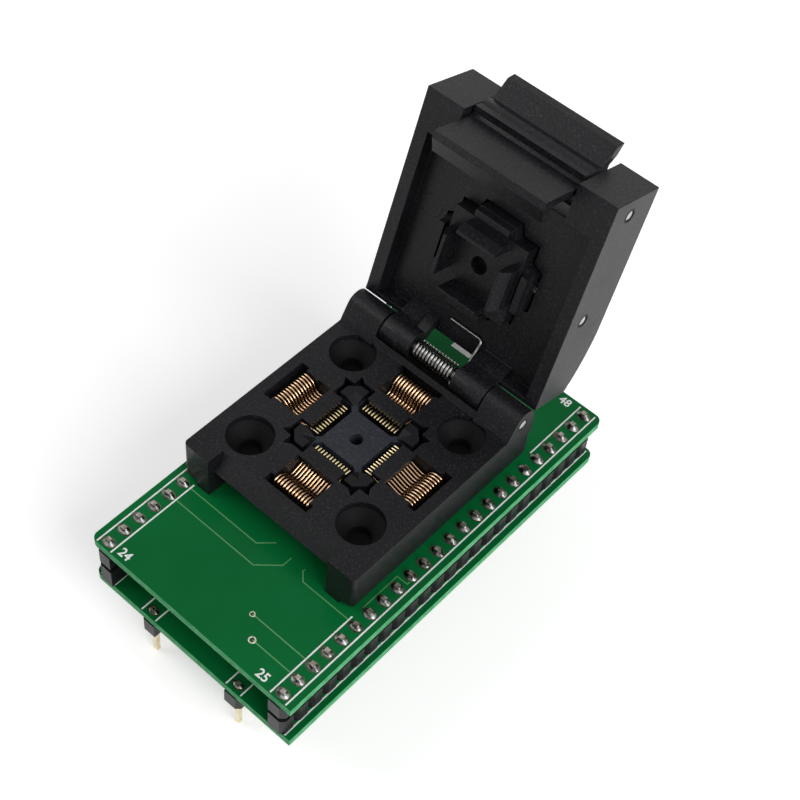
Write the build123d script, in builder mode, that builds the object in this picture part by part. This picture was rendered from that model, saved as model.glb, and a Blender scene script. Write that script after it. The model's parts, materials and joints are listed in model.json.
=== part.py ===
from build123d import *
import os
from math import asin, atan2, cos, degrees, hypot, radians, sin, tan

os.makedirs("parts", exist_ok=True)

# Clamshell test socket for a square flat pack, carried on two stacked boards with
# dual in-line pins. Millimetres, +Z up. The origin lies in the seating plane, the
# underside of the in-line header strips, at the centre of the pin field. Front is -Y.
# The lid is drawn in its open position.

# Pin field
pitch = 2.54
pin_count = 24
dip_row_gap = 15.24
link_row_gap = 30.48
pin_side = 0.64
pin_fit = 0.01

# Header strips
strip_width = 2.5
strip_height = 2.54
strip_notch = 0.6
lower_strip_height = 3.2
strip_gap = 0.86

# Boards
board_thick = 1.2
board_width = 35.0
board_front_trim = 0.18
board_back_lip = 0.17
board_corner = 1.1
link_stickout = 0.75
dip_stickout = 0.5
dip_pin_length = 6.0
dip_pin_taper = 0.14

# Socket base, placed on the upper board
socket_x = -1.17
socket_y = 0.88
base_half = 14.75
base_front = 16.4
base_height = 7.25
base_edge = 0.7
base_foot_chamfer = 2.2
floor_level = 1.0
relief_width = 2.2
relief_height = 1.1

# Hinge line, measured from the centre and the foot of the base
hinge_reach = 15.5
hinge_height = 8.5
hinge_pin_radius = 0.8
press_gap = 0.02
run_gap = 0.05
ear_radius = 1.8
ear_width = 5.8
ear_front_angle = 150
ear_back_angle = 10
ear_back_bend = 5.5
barrel_radius = 1.95
barrel_room = 0.35
hinge_ledge = 4.5
side_gap = 0.25
pin_recess = 0.2

# Catch for the latch, moulded into the front of the base
catch_half = 10.3
catch_top = 13.8
catch_nose = 15.45
catch_level = 4.35
catch_wall = 13.15

# Locating funnels in the corners of the base
funnel_spread = 9.6
funnel_radius = 3.2
funnel_straight = 1.1
funnel_cone = 1.9
funnel_depth = 4.4
funnel_bore = 1.55

# Contact windows, distances outward from the socket centre
row_half = 3.05
window_inner = 7.5
window_step = 11.85
window_outer = 13.15
window_wide = 3.65
window_level = 4.7
bridge_inner = 5.3
bridge_under = 6.5
channel_outer = 12.6
tail_slot_inner = 10.4

# Contacts
contact_count = 12
contact_pitch = 0.5
contact_thick = 0.24
strip_thick = 0.28
tip_reach = 4.15
tip_level = 6.1
tip_bend = 5.3
arm_reach = 9.0
arm_level = 4.9
loop_in = 10.2
loop_in_level = 6.2
loop_reach = 11.5
loop_level = 6.75
loop_out = 12.4
loop_out_level = 5.6
tail_outer = 12.2
tail_inner = 10.9
tail_bend = 2.6
tail_fit = 0.03
tail_stickout = 0.8

# Chip seat
seat_half = 3.45
seat_level = 6.3
seat_bore = 0.9
seat_bore_depth = 3.0
rib_width = 0.9
guide_inner = 3.6
guide_outer = 6.3
guide_cut = 1.3
guide_high = 7.25
guide_flat = 5.0
pocket_room = 0.6
pocket_prong = 7.5
pocket_prong_side = 5.9
pocket_wedge = 5.95

# Lid: s runs up the open lid from the hinge line, n runs outward, away from the base
open_angle = 106.6
closed_tilt = 3.4
lid_half = 14.85
lid_foot = 2.3
lid_tip = 33.5
lid_rim = 1.65
lid_floor = 3.9
lid_back = 11.1
lid_wall = 1.95
lid_bend = 11.0
heel_mid_s = 6.9
heel_mid_n = 10.42
heel_s = 3.3
heel_n = 9.2
heel_foot = 8.6
block_foot = 27.8
web_root = 3.4
web_depth = 4.6

# Spring bay between the lid's two knuckles, measured across from the centre
bay_left = -5.6
bay_right = 3.7

# Latch
latch_slot_half = 8.95
latch_slot_foot = 27.1
latch_half = 8.65
latch_pivot_s = 31.04
latch_pivot_n = 5.8
latch_pin_radius = 0.75
latch_round = 2.9
arm_outer = 32.4
arm_inner = 31.3
hook_end = 4.3
hook_catch = 2.6
hook_nose = 29.1
hook_nose_face = 3.3
latch_front = 3.5
tab_root = 33.7
tab_root_n = 7.2
tab_front = 36.1
tab_front_n = 9.2
tab_top = 36.3
tab_top_n = 10.6
tab_back = 34.75
tab_back_n = 9.9
tab_foot_n = 8.7

# Pusher
pusher_half = 5.9
pusher_front = 2.0
pusher_back = 7.6
pusher_room = 0.3
pusher_well = 8.7
lug_reach = 7.5
lug_root_half = 3.5
lug_tip_half = 2.8
lug_front = 2.6
ridge_reach = 7.3
ridge_width = 0.95
ridge_half = 2.75
ridge_front = 1.45
bar_outer = 5.45
bar_width = 1.2
bar_half = 3.1
bar_bevel = 0.75
bar_bevel_height = 1.4
lead_room = 0.35
pusher_bore = 1.25
pusher_bore_depth = 1.6
pusher_pin_n = 5.0
pusher_pin_radius = 0.8

# Springs
wire_radius = 0.2
coil_radius = 1.27
coil_whole_turns = 12
coil_left = -3.4
coil_right = 3.2
seat_leg_length = 3.7
lid_leg_top = 4.5
lid_leg_end = -2.0
leg_gap = 0.05
latch_wire = 0.15
latch_coil_radius = 1.1
latch_coil_turns = 4.25
latch_leg_front = 1.2
leg_room = 0.3
coil_steps = 8
wire_sides = 4
latch_coil_half = 1.4
latch_notch_half = 2.0
latch_notch_front = 4.1
latch_notch_back = 7.5
latch_notch_top = 32.5

# Levels and places that follow
pin_hole = pin_side + 2 * pin_fit
link_low_z = strip_height + board_thick
upper_strip_z = link_low_z + lower_strip_height + strip_gap
upper_board_z = upper_strip_z + strip_height
socket_z = upper_board_z + board_thick
pin_field_half = pin_count * pitch / 2
board_front = board_front_trim - pin_field_half
board_back = pin_field_half + board_back_lip
board_length = board_back - board_front
board_mid_y = (board_back + board_front) / 2
hinge_y = socket_y + hinge_reach
hinge_z = socket_z + hinge_height
ear_inner = base_half - ear_width
barrel_half = ear_inner - side_gap
tail_hole = strip_thick + 2 * tail_fit

# Directions of the open lid, and the pusher's place: level over the chip when closed
lean = radians(180 - open_angle)
along = (0, cos(lean), sin(lean))
outward = (0, sin(lean), -cos(lean))
swing = radians(closed_tilt)
pusher_s = (hinge_reach - pusher_pin_n * sin(swing)) / cos(swing)
pusher_closed_z = hinge_height + pusher_pin_n * cos(swing) - pusher_s * sin(swing)
bar_front = pusher_pin_n - (pusher_closed_z - tip_level - strip_thick / 2 - lead_room)

# Working planes: the side views have their first axis to the back or along the lid
base_side = Plane(origin=(socket_x, socket_y, socket_z), x_dir=(0, 1, 0), z_dir=(1, 0, 0))
base_foot = Plane(origin=(socket_x, socket_y, socket_z))
base_top = base_foot.offset(base_height)
lid_side = Plane(origin=(socket_x, hinge_y, hinge_z), x_dir=along, z_dir=(-1, 0, 0))


def lid_face(n, s):
    """Plane parallel to the open lid's floor, facing inward, at height s up the lid."""
    y = hinge_y + s * along[1] + n * outward[1]
    z = hinge_z + s * along[2] + n * outward[2]
    return Plane(origin=(socket_x, y, z), x_dir=(1, 0, 0), z_dir=(0, -outward[1], -outward[2]))


def radial_plane(angle, across):
    """Upright plane through one contact: first axis outward from the socket centre."""
    out = radians(angle)
    middle = Plane(
        origin=(socket_x, socket_y, socket_z),
        x_dir=(cos(out), sin(out), 0),
        z_dir=(sin(out), -cos(out), 0),
    )
    return middle.offset(-across)


# Outline of a header strip round one pin, notched towards its neighbours on its outer side
with BuildSketch() as strip_cell:
    Rectangle(strip_width, pitch)
    chamfer(strip_cell.vertices().group_by(Axis.X)[-1], strip_notch)
    Rectangle(pin_hole, pin_hole, mode=Mode.SUBTRACT)

# Header strips and the pins that stand in them
strips = (
    ("dip_header", dip_row_gap, 0, strip_height),
    ("lower_header", link_row_gap, link_low_z, lower_strip_height),
    ("upper_header", link_row_gap, upper_strip_z, strip_height),
)
for side, sign in (("left", -1), ("right", 1)):
    for name, row_gap, level, height in strips:
        with BuildPart() as strip:
            with BuildSketch(Plane.XY.offset(level)):
                with Locations((sign * row_gap / 2, 0)):
                    with GridLocations(0, pitch, 1, pin_count):
                        add(strip_cell.sketch, rotation=0 if sign > 0 else 180)
            extrude(amount=height)
        strip.part.label = f"{name}_{side}"
        export_step(strip.part, f"parts/{name}_{side}.step")

    with BuildPart() as dip_pins:
        with BuildSketch(Plane.XY.offset(-dip_pin_length)):
            with Locations((sign * dip_row_gap / 2, 0)):
                with GridLocations(0, pitch, 1, pin_count):
                    Rectangle(pin_side, pin_side)
        extrude(amount=dip_pin_length + link_low_z + dip_stickout)
        pin_ends = dip_pins.faces().group_by(Axis.Z)[0]
        chamfer(pin_ends.edges(), dip_pin_taper)
    dip_pins.part.label = f"dip_pins_{side}"
    export_step(dip_pins.part, f"parts/dip_pins_{side}.step")

    with BuildPart() as link_pins:
        with BuildSketch(Plane.XY.offset(strip_height - link_stickout)):
            with Locations((sign * link_row_gap / 2, 0)):
                with GridLocations(0, pitch, 1, pin_count):
                    Rectangle(pin_side, pin_side)
        extrude(amount=socket_z - strip_height + 2 * link_stickout)
    link_pins.part.label = f"link_pins_{side}"
    export_step(link_pins.part, f"parts/link_pins_{side}.step")

# Places of the contacts along a row, and the staggered lines of their tails
contact_places = [(i - (contact_count - 1) / 2) * contact_pitch for i in range(contact_count)]
tail_reaches = [tail_outer if i % 2 else tail_inner for i in range(contact_count)]

# Boards: two opposite corners rounded, plated holes closed round each square pin
with BuildPart() as lower_board:
    with BuildSketch(Plane.XY.offset(strip_height)) as lower_outline:
        with Locations((0, board_mid_y)):
            Rectangle(board_width, board_length)
        corners = lower_outline.vertices().sort_by(Axis((0, 0, 0), (1, 1, 0)))
        fillet([corners[0], corners[-1]], board_corner)
        for row_gap in (dip_row_gap, link_row_gap):
            with GridLocations(row_gap, pitch, 2, pin_count):
                Rectangle(pin_hole, pin_hole, mode=Mode.SUBTRACT)
    extrude(amount=board_thick)
lower_board.part.label = "lower_board"
export_step(lower_board.part, "parts/lower_board.step")

with BuildPart() as upper_board:
    with BuildSketch(Plane.XY.offset(upper_board_z)) as upper_outline:
        with Locations((0, board_mid_y)):
            Rectangle(board_width, board_length)
        corners = upper_outline.vertices().sort_by(Axis((0, 0, 0), (1, 1, 0)))
        fillet([corners[0], corners[-1]], board_corner)
        with GridLocations(link_row_gap, pitch, 2, pin_count):
            Rectangle(pin_hole, pin_hole, mode=Mode.SUBTRACT)
        with Locations((socket_x, socket_y)):
            with PolarLocations(0, 4):
                with Locations(*zip(tail_reaches, contact_places)):
                    Rectangle(tail_hole, tail_hole, mode=Mode.SUBTRACT)
    extrude(amount=board_thick)
upper_board.part.label = "upper_board"
export_step(upper_board.part, "parts/upper_board.step")

# Formed contacts: a straight inner arm under the bridge, then a high spring loop
for side, angle in (("right", 0), ("back", 90), ("left", 180), ("front", 270)):
    with BuildPart() as contacts:
        for across, tail in zip(contact_places, tail_reaches):
            with BuildSketch(radial_plane(angle, across)):
                with BuildLine():
                    Polyline(
                        (tip_reach, tip_level),
                        (tip_bend, tip_level),
                        (arm_reach, arm_level),
                        (loop_in, loop_in_level),
                        (loop_reach, loop_level),
                        (loop_out, loop_out_level),
                        (tail, tail_bend),
                        (tail, -board_thick - tail_stickout),
                    )
                trace(line_width=strip_thick)
            extrude(amount=contact_thick / 2, both=True)
    contacts.part.label = f"contacts_{side}"
    export_step(contacts.part, f"parts/contacts_{side}.step")

# Outline of the pocket in which one corner guide stands, with its two outer prongs
pocket_inner = guide_inner - pocket_room
pocket_outer = guide_outer + pocket_room
with BuildSketch() as pocket_outline:
    Polygon(
        (pocket_inner, pocket_inner),
        (pocket_outer, pocket_inner),
        (pocket_outer, guide_outer - guide_cut),
        (pocket_prong, pocket_prong_side),
        (pocket_wedge, pocket_wedge),
        (pocket_prong_side, pocket_prong),
        (guide_outer - guide_cut, pocket_outer),
        (pocket_inner, pocket_outer),
        align=None,
    )

# One locating funnel: a short straight mouth, a cone and a blind bore
with BuildPart() as funnel:
    with BuildSketch(Plane.XZ):
        Polygon(
            (0, 0),
            (funnel_radius, 0),
            (funnel_radius, -funnel_straight),
            (funnel_bore, -funnel_straight - funnel_cone),
            (funnel_bore, -funnel_depth),
            (0, -funnel_depth),
            align=None,
        )
    revolve(axis=Axis.Z)

# Socket base: a block with two hinge ears, opened for contacts, guides and funnels
ear_front_y = hinge_reach + ear_radius * cos(radians(ear_front_angle))
ear_front_z = hinge_height + ear_radius * sin(radians(ear_front_angle))
ear_foot_y = ear_front_y - (ear_front_z - base_height) * tan(radians(180 - ear_front_angle))
ear_back_y = hinge_reach + ear_radius * cos(radians(ear_back_angle))
ear_back_z = hinge_height + ear_radius * sin(radians(ear_back_angle))
base_back = ear_back_y + (ear_back_z - ear_back_bend) * tan(radians(ear_back_angle))
bay_front = hinge_reach - barrel_radius - barrel_room

with BuildPart() as socket_base:
    with BuildSketch(base_side):
        with BuildLine():
            Polyline(
                (ear_back_y, ear_back_z),
                (base_back, ear_back_bend),
                (base_back, base_foot_chamfer),
                (base_back - base_foot_chamfer, 0),
                (-base_front, 0),
                (-base_front, base_height),
                (ear_foot_y, base_height),
                (ear_front_y, ear_front_z),
            )
            CenterArc(
                center=(hinge_reach, hinge_height),
                radius=ear_radius,
                start_angle=ear_back_angle,
                arc_size=ear_front_angle - ear_back_angle,
            )
        make_face()
    extrude(amount=base_half, both=True)
    upright = socket_base.edges().filter_by(Axis.Z)
    fillet(upright.group_by(Axis.Y)[0] + upright.group_by(Axis.Y)[-1], base_edge)

    # Relief under both long sides, over the soldered pins of the outer rows
    with BuildSketch(base_foot):
        for sign in (-1, 1):
            with Locations((sign * base_half, -base_front)):
                relief = (2 * relief_width, base_front + base_back)
                Rectangle(*relief, align=(Align.CENTER, Align.MIN))
    extrude(amount=relief_height, mode=Mode.SUBTRACT)

    # Bay for the lid's knuckles between the ears
    with BuildSketch(base_side):
        with Locations((bay_front, hinge_ledge)):
            Rectangle(base_front, hinge_height, align=(Align.MIN, Align.MIN))
    extrude(amount=ear_inner, both=True, mode=Mode.SUBTRACT)

    # Recess at the front: the latch rides down the slope and snaps in below it
    with BuildSketch(base_side):
        Polygon(
            (-catch_top, base_height),
            (-catch_nose, catch_level),
            (-catch_wall, catch_level),
            (-catch_wall, 0),
            (-base_front, 0),
            (-base_front, base_height),
            align=None,
        )
    extrude(amount=catch_half, both=True, mode=Mode.SUBTRACT)

    # Stepped windows, the channels that join them to the seat, and the tail slots
    with BuildSketch(base_top):
        with PolarLocations(0, 4):
            Polygon(
                (window_inner, -row_half),
                (window_step, -row_half),
                (window_step, -window_wide),
                (window_outer, -window_wide),
                (window_outer, window_wide),
                (window_step, window_wide),
                (window_step, row_half),
                (window_inner, row_half),
                align=None,
            )
    extrude(amount=window_level - base_height, mode=Mode.SUBTRACT)
    with BuildSketch(base_foot.offset(floor_level)):
        Rectangle(2 * channel_outer, 2 * row_half)
        Rectangle(2 * row_half, 2 * channel_outer)
    extrude(amount=bridge_under - floor_level, mode=Mode.SUBTRACT)
    with BuildSketch(base_foot):
        for reach in (-channel_outer, channel_outer):
            slot = channel_outer - tail_slot_inner
            align = Align.MIN if reach < 0 else Align.MAX
            with Locations((reach, 0)):
                Rectangle(slot, 2 * row_half, align=(align, Align.CENTER))
            with Locations((0, reach)):
                Rectangle(2 * row_half, slot, align=(Align.CENTER, align))
    extrude(amount=floor_level, mode=Mode.SUBTRACT)

    # Central well and the corner pockets
    with BuildSketch(base_foot.offset(floor_level)):
        Rectangle(2 * bridge_inner, 2 * bridge_inner)
        with PolarLocations(0, 4):
            add(pocket_outline.sketch)
    extrude(amount=base_height - floor_level, mode=Mode.SUBTRACT)

    # Funnels in the corners
    with Locations(base_top):
        with GridLocations(2 * funnel_spread, 2 * funnel_spread, 2, 2):
            add(funnel.part, mode=Mode.SUBTRACT)

    # Hinge pin bore through both ears
    with BuildSketch(base_side):
        with Locations((hinge_reach, hinge_height)):
            Circle(hinge_pin_radius + press_gap)
    extrude(amount=base_half, both=True, mode=Mode.SUBTRACT)
socket_base.part.label = "socket_base"
export_step(socket_base.part, "parts/socket_base.step")

# Chip seat: a platform on a column, ribbed to four corner guides that centre the chip
with BuildPart() as chip_seat:
    with BuildSketch(base_foot.offset(floor_level)):
        Rectangle(2 * seat_half, 2 * seat_half)
        with PolarLocations(0, 4, start_angle=45):
            Rectangle(2 * hypot(guide_inner, guide_inner) + 2 * rib_width, rib_width)
    extrude(amount=seat_level - floor_level)
    with BuildSketch(base_foot.offset(floor_level)) as guides:
        with PolarLocations(0, 4):
            Polygon(
                (guide_inner, guide_inner),
                (guide_outer, guide_inner),
                (guide_outer, guide_outer - guide_cut),
                (guide_outer - guide_cut, guide_outer),
                (guide_inner, guide_outer),
                align=None,
            )
    extrude(amount=guide_high - floor_level)
    with BuildSketch(base_foot.offset(guide_high)):
        Rectangle(2 * guide_flat, 2 * guide_flat)
    lead_in = degrees(atan2(guide_flat - guide_inner, guide_high - seat_level))
    extrude(amount=seat_level - guide_high, taper=lead_in, mode=Mode.SUBTRACT)
    with Locations(base_foot.offset(seat_level)):
        Hole(seat_bore, seat_bore_depth)
chip_seat.part.label = "chip_seat"
export_step(chip_seat.part, "parts/chip_seat.step")

# Steel pins, each a little shorter than the housing that it crosses
steel_pins = (
    ("hinge_pin", 0, 0, hinge_pin_radius, base_half - pin_recess),
    ("latch_pin", latch_pivot_s, latch_pivot_n, latch_pin_radius, lid_half - pin_recess),
    ("pusher_pin", pusher_s, pusher_pin_n, pusher_pin_radius, lid_half - pin_recess),
)
for name, s, n, radius, half in steel_pins:
    with BuildPart() as steel_pin:
        with BuildSketch(lid_side):
            with Locations((s, n)):
                Circle(radius)
        extrude(amount=half, both=True)
    steel_pin.part.label = name
    export_step(steel_pin.part, f"parts/{name}.step")

# Outline of the pusher, a square with four tapered lugs
with BuildSketch() as pusher_outline:
    Rectangle(2 * pusher_half, 2 * pusher_half)
    with PolarLocations(0, 4):
        Polygon(
            (pusher_half, -lug_root_half),
            (lug_reach, -lug_tip_half),
            (lug_reach, lug_tip_half),
            (pusher_half, lug_root_half),
            align=None,
        )

# Lid: a thick shell with a shallow tray, two corner blocks, a latch slot and a well
with BuildPart() as lid:
    with BuildSketch(lid_side):
        with BuildLine():
            Polyline(
                (heel_s, heel_n),
                (lid_foot, heel_foot),
                (lid_foot, lid_rim),
                (lid_tip, lid_rim),
                (lid_tip, lid_back),
                (lid_bend, lid_back),
            )
            ThreePointArc((lid_bend, lid_back), (heel_mid_s, heel_mid_n), (heel_s, heel_n))
        make_face()
    extrude(amount=lid_half, both=True)
    with BuildSketch(lid_side):
        with Locations((lid_foot, lid_rim)):
            tray = (block_foot - lid_foot, lid_floor - lid_rim)
            Rectangle(*tray, align=(Align.MIN, Align.MIN))
    extrude(amount=lid_half - lid_wall, both=True, mode=Mode.SUBTRACT)
    with BuildSketch(lid_side):
        with Locations((latch_slot_foot, 0)):
            slot = (lid_tip - latch_slot_foot, lid_back)
            Rectangle(*slot, align=(Align.MIN, Align.MIN))
    extrude(amount=latch_slot_half, both=True, mode=Mode.SUBTRACT)
    with BuildSketch(lid_face(lid_floor, pusher_s)):
        add(pusher_outline.sketch)
        offset(amount=pusher_room, kind=Kind.INTERSECTION)
    extrude(amount=lid_floor - pusher_well, mode=Mode.SUBTRACT)

    # Knuckles on both sides of the spring bay, webbed to the foot of the lid
    for start, end in ((barrel_half, bay_right), (bay_left, -barrel_half)):
        with BuildSketch(lid_side.offset(-start)):
            Circle(barrel_radius)
            Polygon(
                (0, barrel_radius),
                (lid_foot, web_depth),
                (web_root, web_depth),
                (web_root, lid_floor),
                (lid_foot, lid_rim),
                (barrel_radius, 0),
                align=None,
            )
        extrude(amount=start - end)

    # Bores for the three pins
    with BuildSketch(lid_side):
        Circle(hinge_pin_radius + run_gap)
        with Locations((latch_pivot_s, latch_pivot_n)):
            Circle(latch_pin_radius + press_gap)
        with Locations((pusher_s, pusher_pin_n)):
            Circle(pusher_pin_radius + press_gap)
    extrude(amount=lid_half, both=True, mode=Mode.SUBTRACT)
lid.part.label = "lid"
export_step(lid.part, "parts/lid.step")

# One bar of the pusher, bevelled on its outer side, with +Z towards the chip
with BuildPart() as bar:
    with BuildSketch(Plane.XZ):
        Polygon(
            (bar_outer, -pusher_front),
            (bar_outer, -bar_front - bar_bevel_height),
            (bar_outer - bar_bevel, -bar_front),
            (bar_outer - bar_width, -bar_front),
            (bar_outer - bar_width, -pusher_front),
            align=None,
        )
    extrude(amount=bar_half, both=True)

# Pusher: rocks on its pin, its four bars press the chip's legs on to the contacts
with BuildPart() as pusher:
    with BuildSketch(lid_face(lug_front, pusher_s)):
        add(pusher_outline.sketch)
    extrude(amount=lug_front - pusher_back)
    with BuildSketch(lid_face(lug_front, pusher_s)):
        Rectangle(2 * pusher_half, 2 * pusher_half)
    extrude(amount=lug_front - pusher_front)
    with Locations(lid_face(0, pusher_s)):
        with PolarLocations(0, 4):
            add(bar.part)
    with BuildSketch(lid_face(lug_front, pusher_s)):
        with PolarLocations(ridge_reach - ridge_width / 2, 4):
            Rectangle(ridge_width, 2 * ridge_half)
    extrude(amount=lug_front - ridge_front)
    with Locations(lid_face(pusher_front, pusher_s)):
        Hole(pusher_bore, pusher_bore_depth)
    with BuildSketch(lid_side):
        with Locations((pusher_s, pusher_pin_n)):
            Circle(pusher_pin_radius + run_gap)
    extrude(amount=lid_half, both=True, mode=Mode.SUBTRACT)
pusher.part.label = "pusher"
export_step(pusher.part, "parts/pusher.step")

# Latch: a tab to press, a rounded body on the pin and an arm with a hooked end
with BuildPart() as latch_lever:
    with BuildSketch(lid_side) as latch_profile:
        Polygon(
            (tab_front, tab_front_n),
            (tab_top, tab_top_n),
            (tab_back, tab_back_n),
            (tab_root, tab_foot_n),
            (latch_pivot_s, latch_pivot_n + latch_round),
            (latch_pivot_s, latch_front),
            (tab_root, latch_front),
            (tab_root, tab_root_n),
            align=None,
        )
        with Locations((latch_pivot_s, latch_pivot_n)):
            Circle(latch_round)
        Polygon(
            (arm_inner, latch_front),
            (arm_inner, -hook_catch),
            (hook_nose, -hook_catch),
            (hook_nose, -hook_nose_face),
            (arm_inner, -hook_end),
            (arm_outer, -hook_end),
            (arm_outer, latch_front),
            align=None,
        )
        with Locations((latch_pivot_s, latch_pivot_n)):
            Circle(latch_pin_radius + run_gap, mode=Mode.SUBTRACT)
    extrude(amount=latch_half, both=True)
    with BuildSketch(lid_side):
        with Locations((latch_notch_top, latch_notch_front)):
            notch = (latch_notch_top - latch_slot_foot, latch_notch_back - latch_notch_front)
            Rectangle(*notch, align=(Align.MAX, Align.MIN))
    extrude(amount=latch_notch_half, both=True, mode=Mode.SUBTRACT)
latch_lever.part.label = "latch_lever"
export_step(latch_lever.part, "parts/latch_lever.step")

# Hinge spring: a coil on the pin, one leg down to the base, one across the lid's floor.
# The leg up the lid is tangent to the coil, which sets where the last turn ends.
leg_s = lid_leg_top
leg_n = lid_floor - wire_radius - leg_gap
leg_slope = atan2(leg_n, leg_s) - asin(coil_radius / hypot(leg_s, leg_n))
last_turn = lean - leg_slope - radians(90)
coil_turns = coil_whole_turns + degrees(last_turn) / 360
coil_length = coil_right - coil_left
coil_plane = Plane(origin=(socket_x + coil_left, hinge_y, hinge_z), x_dir=(0, 1, 0), z_dir=(1, 0, 0))
leg_y = leg_s * cos(lean) + leg_n * sin(lean)
leg_z = leg_s * sin(lean) - leg_n * cos(lean)


def coil_points(radius, length, turns):
    """Points of a coil about the plane's normal, with coil_steps straight runs to a turn."""
    steps = round(turns * coil_steps)
    angles = [radians(360) * turns * i / steps for i in range(steps + 1)]
    return [(radius * cos(a), radius * sin(a), length * i / steps) for i, a in enumerate(angles)]


with BuildPart() as hinge_spring:
    with BuildLine(coil_plane) as wire:
        Polyline(
            (coil_radius, -seat_leg_length, 0),
            *coil_points(coil_radius, coil_length, coil_turns),
            (leg_y, leg_z, coil_length),
            (leg_y, leg_z, lid_leg_end - coil_left),
        )
    with BuildSketch(Plane(wire.line @ 0, z_dir=wire.line % 0)):
        RegularPolygon(wire_radius, wire_sides)
    sweep(path=wire.line, transition=Transition.RIGHT)
hinge_spring.part.label = "hinge_spring"
export_step(hinge_spring.part, "parts/hinge_spring.step")

# Latch spring: a small coil on the latch pin, between the latch and the foot of its slot
latch_plane = Plane(
    origin=lid_side.from_local_coords((latch_pivot_s, latch_pivot_n, -latch_coil_half)),
    x_dir=along,
    z_dir=(-1, 0, 0),
)
latch_coil_length = 2 * latch_coil_half
latch_leg_foot = latch_slot_foot + leg_room - latch_pivot_s
with BuildPart() as latch_spring:
    with BuildLine(latch_plane) as wire:
        Polyline(
            (latch_coil_radius, -latch_leg_front, 0),
            *coil_points(latch_coil_radius, latch_coil_length, latch_coil_turns),
            (latch_leg_foot, latch_coil_radius, latch_coil_length),
        )
    with BuildSketch(Plane(wire.line @ 0, z_dir=wire.line % 0)):
        RegularPolygon(latch_wire, wire_sides)
    sweep(path=wire.line, transition=Transition.RIGHT)
latch_spring.part.label = "latch_spring"
export_step(latch_spring.part, "parts/latch_spring.step")
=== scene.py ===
import json
import bmesh
import bpy
import numpy as np
from mathutils import Matrix, Vector


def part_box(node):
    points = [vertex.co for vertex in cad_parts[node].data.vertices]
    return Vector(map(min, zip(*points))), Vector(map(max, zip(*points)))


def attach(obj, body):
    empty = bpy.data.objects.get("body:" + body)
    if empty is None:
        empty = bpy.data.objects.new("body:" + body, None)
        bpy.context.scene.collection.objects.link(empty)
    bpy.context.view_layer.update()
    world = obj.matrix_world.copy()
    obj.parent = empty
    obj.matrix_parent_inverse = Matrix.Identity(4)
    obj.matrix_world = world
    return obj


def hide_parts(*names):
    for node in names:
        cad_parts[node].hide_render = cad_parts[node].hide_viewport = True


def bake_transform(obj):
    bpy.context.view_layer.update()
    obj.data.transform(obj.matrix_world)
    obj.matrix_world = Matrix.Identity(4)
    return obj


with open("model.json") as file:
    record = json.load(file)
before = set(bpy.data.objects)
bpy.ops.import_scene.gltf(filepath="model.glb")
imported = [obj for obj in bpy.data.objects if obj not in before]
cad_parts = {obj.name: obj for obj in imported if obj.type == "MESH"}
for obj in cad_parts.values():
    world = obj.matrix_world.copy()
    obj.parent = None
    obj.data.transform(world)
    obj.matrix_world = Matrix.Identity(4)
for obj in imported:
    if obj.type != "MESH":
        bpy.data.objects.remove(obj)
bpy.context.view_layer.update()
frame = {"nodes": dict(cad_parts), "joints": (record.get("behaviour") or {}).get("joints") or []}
nodes = frame["nodes"]
joints = {j["name"]: j for j in frame["joints"]}
mm = 0.001

# Shapes are set in millimetres and degrees, looks and the studio in metres

# Places that the frame gives
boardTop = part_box("upper_board")[1][2]
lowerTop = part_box("lower_board")[1][2]
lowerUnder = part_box("lower_board")[0][2]
boardLow = np.array(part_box("upper_board")[0])
boardHigh = np.array(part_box("upper_board")[1])
seatLow, seatHigh = (np.array(c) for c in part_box("chip_seat"))
socketMid = (seatLow + seatHigh) / 2
hingeAt = np.array(joints["lid_hinge"]["pos_m"])
latchAt = np.array(joints["latch_pivot"]["pos_m"])

lidPose = dict(openAngle=106.6)
lean = np.radians(180 - lidPose["openAngle"])
across = np.array([1.0, 0.0, 0.0])
upLid = np.array([0.0, np.cos(lean), np.sin(lean)])
outLid = np.array([0.0, np.sin(lean), -np.cos(lean)])
upward = np.array([0.0, 0.0, 1.0])
backward = np.array([0.0, 1.0, 0.0])
print("frame loaded:", len(nodes), "nodes")


# Mesh helpers
edgeShape = dict(sharpFrom=50, bevelFrom=38, segments=2, joinReach=0.002, flatUnder=0.5)


def buildMesh(name, verts, faces, smooth=True):
    # verts (n, 3) in metres, faces a list of index arrays of one width each
    mesh = bpy.data.meshes.new(name)
    mesh.from_pydata(verts.tolist(), [], [f for block in faces for f in block.tolist()])
    mesh.update()
    if smooth:
        mesh.shade_smooth()
        mesh.set_sharp_from_angle(angle=np.radians(edgeShape["sharpFrom"]))
    else:
        mesh.shade_flat()
    piece = bpy.data.objects.new(name, mesh)
    bpy.context.scene.collection.objects.link(piece)
    return piece


def gridFaces(rows, columns, wrapRows=False):
    # four-sided faces between neighbouring rows and round the columns, facing out of a tube
    i = np.arange(rows if wrapRows else rows - 1)
    a, b = np.meshgrid(i, np.arange(columns), indexing="ij")
    c, d = (a + 1) % rows, (b + 1) % columns
    quads = np.stack([a * columns + b, a * columns + d, c * columns + d, c * columns + b], -1)
    return quads.reshape(-1, 4)


def tubeSet(name, points, looped=False):
    # points (copies, rows, columns, 3): closed sections carried along a path, one tube a copy,
    # its ends capped, or joined where the path runs back to its start
    copies, rows, columns = points.shape[:3]
    shift = (np.arange(copies) * rows * columns)[:, None, None]
    quads = (gridFaces(rows, columns, wrapRows=looped)[None] + shift).reshape(-1, 4)
    faces = [quads]
    if not looped:
        ring = np.arange(columns)
        first = (ring[::-1][None, None] + shift).reshape(-1, columns)
        last = (ring[None, None] + (rows - 1) * columns + shift).reshape(-1, columns)
        faces += [first, last]
    return buildMesh(name, points.reshape(-1, 3), faces)


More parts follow.
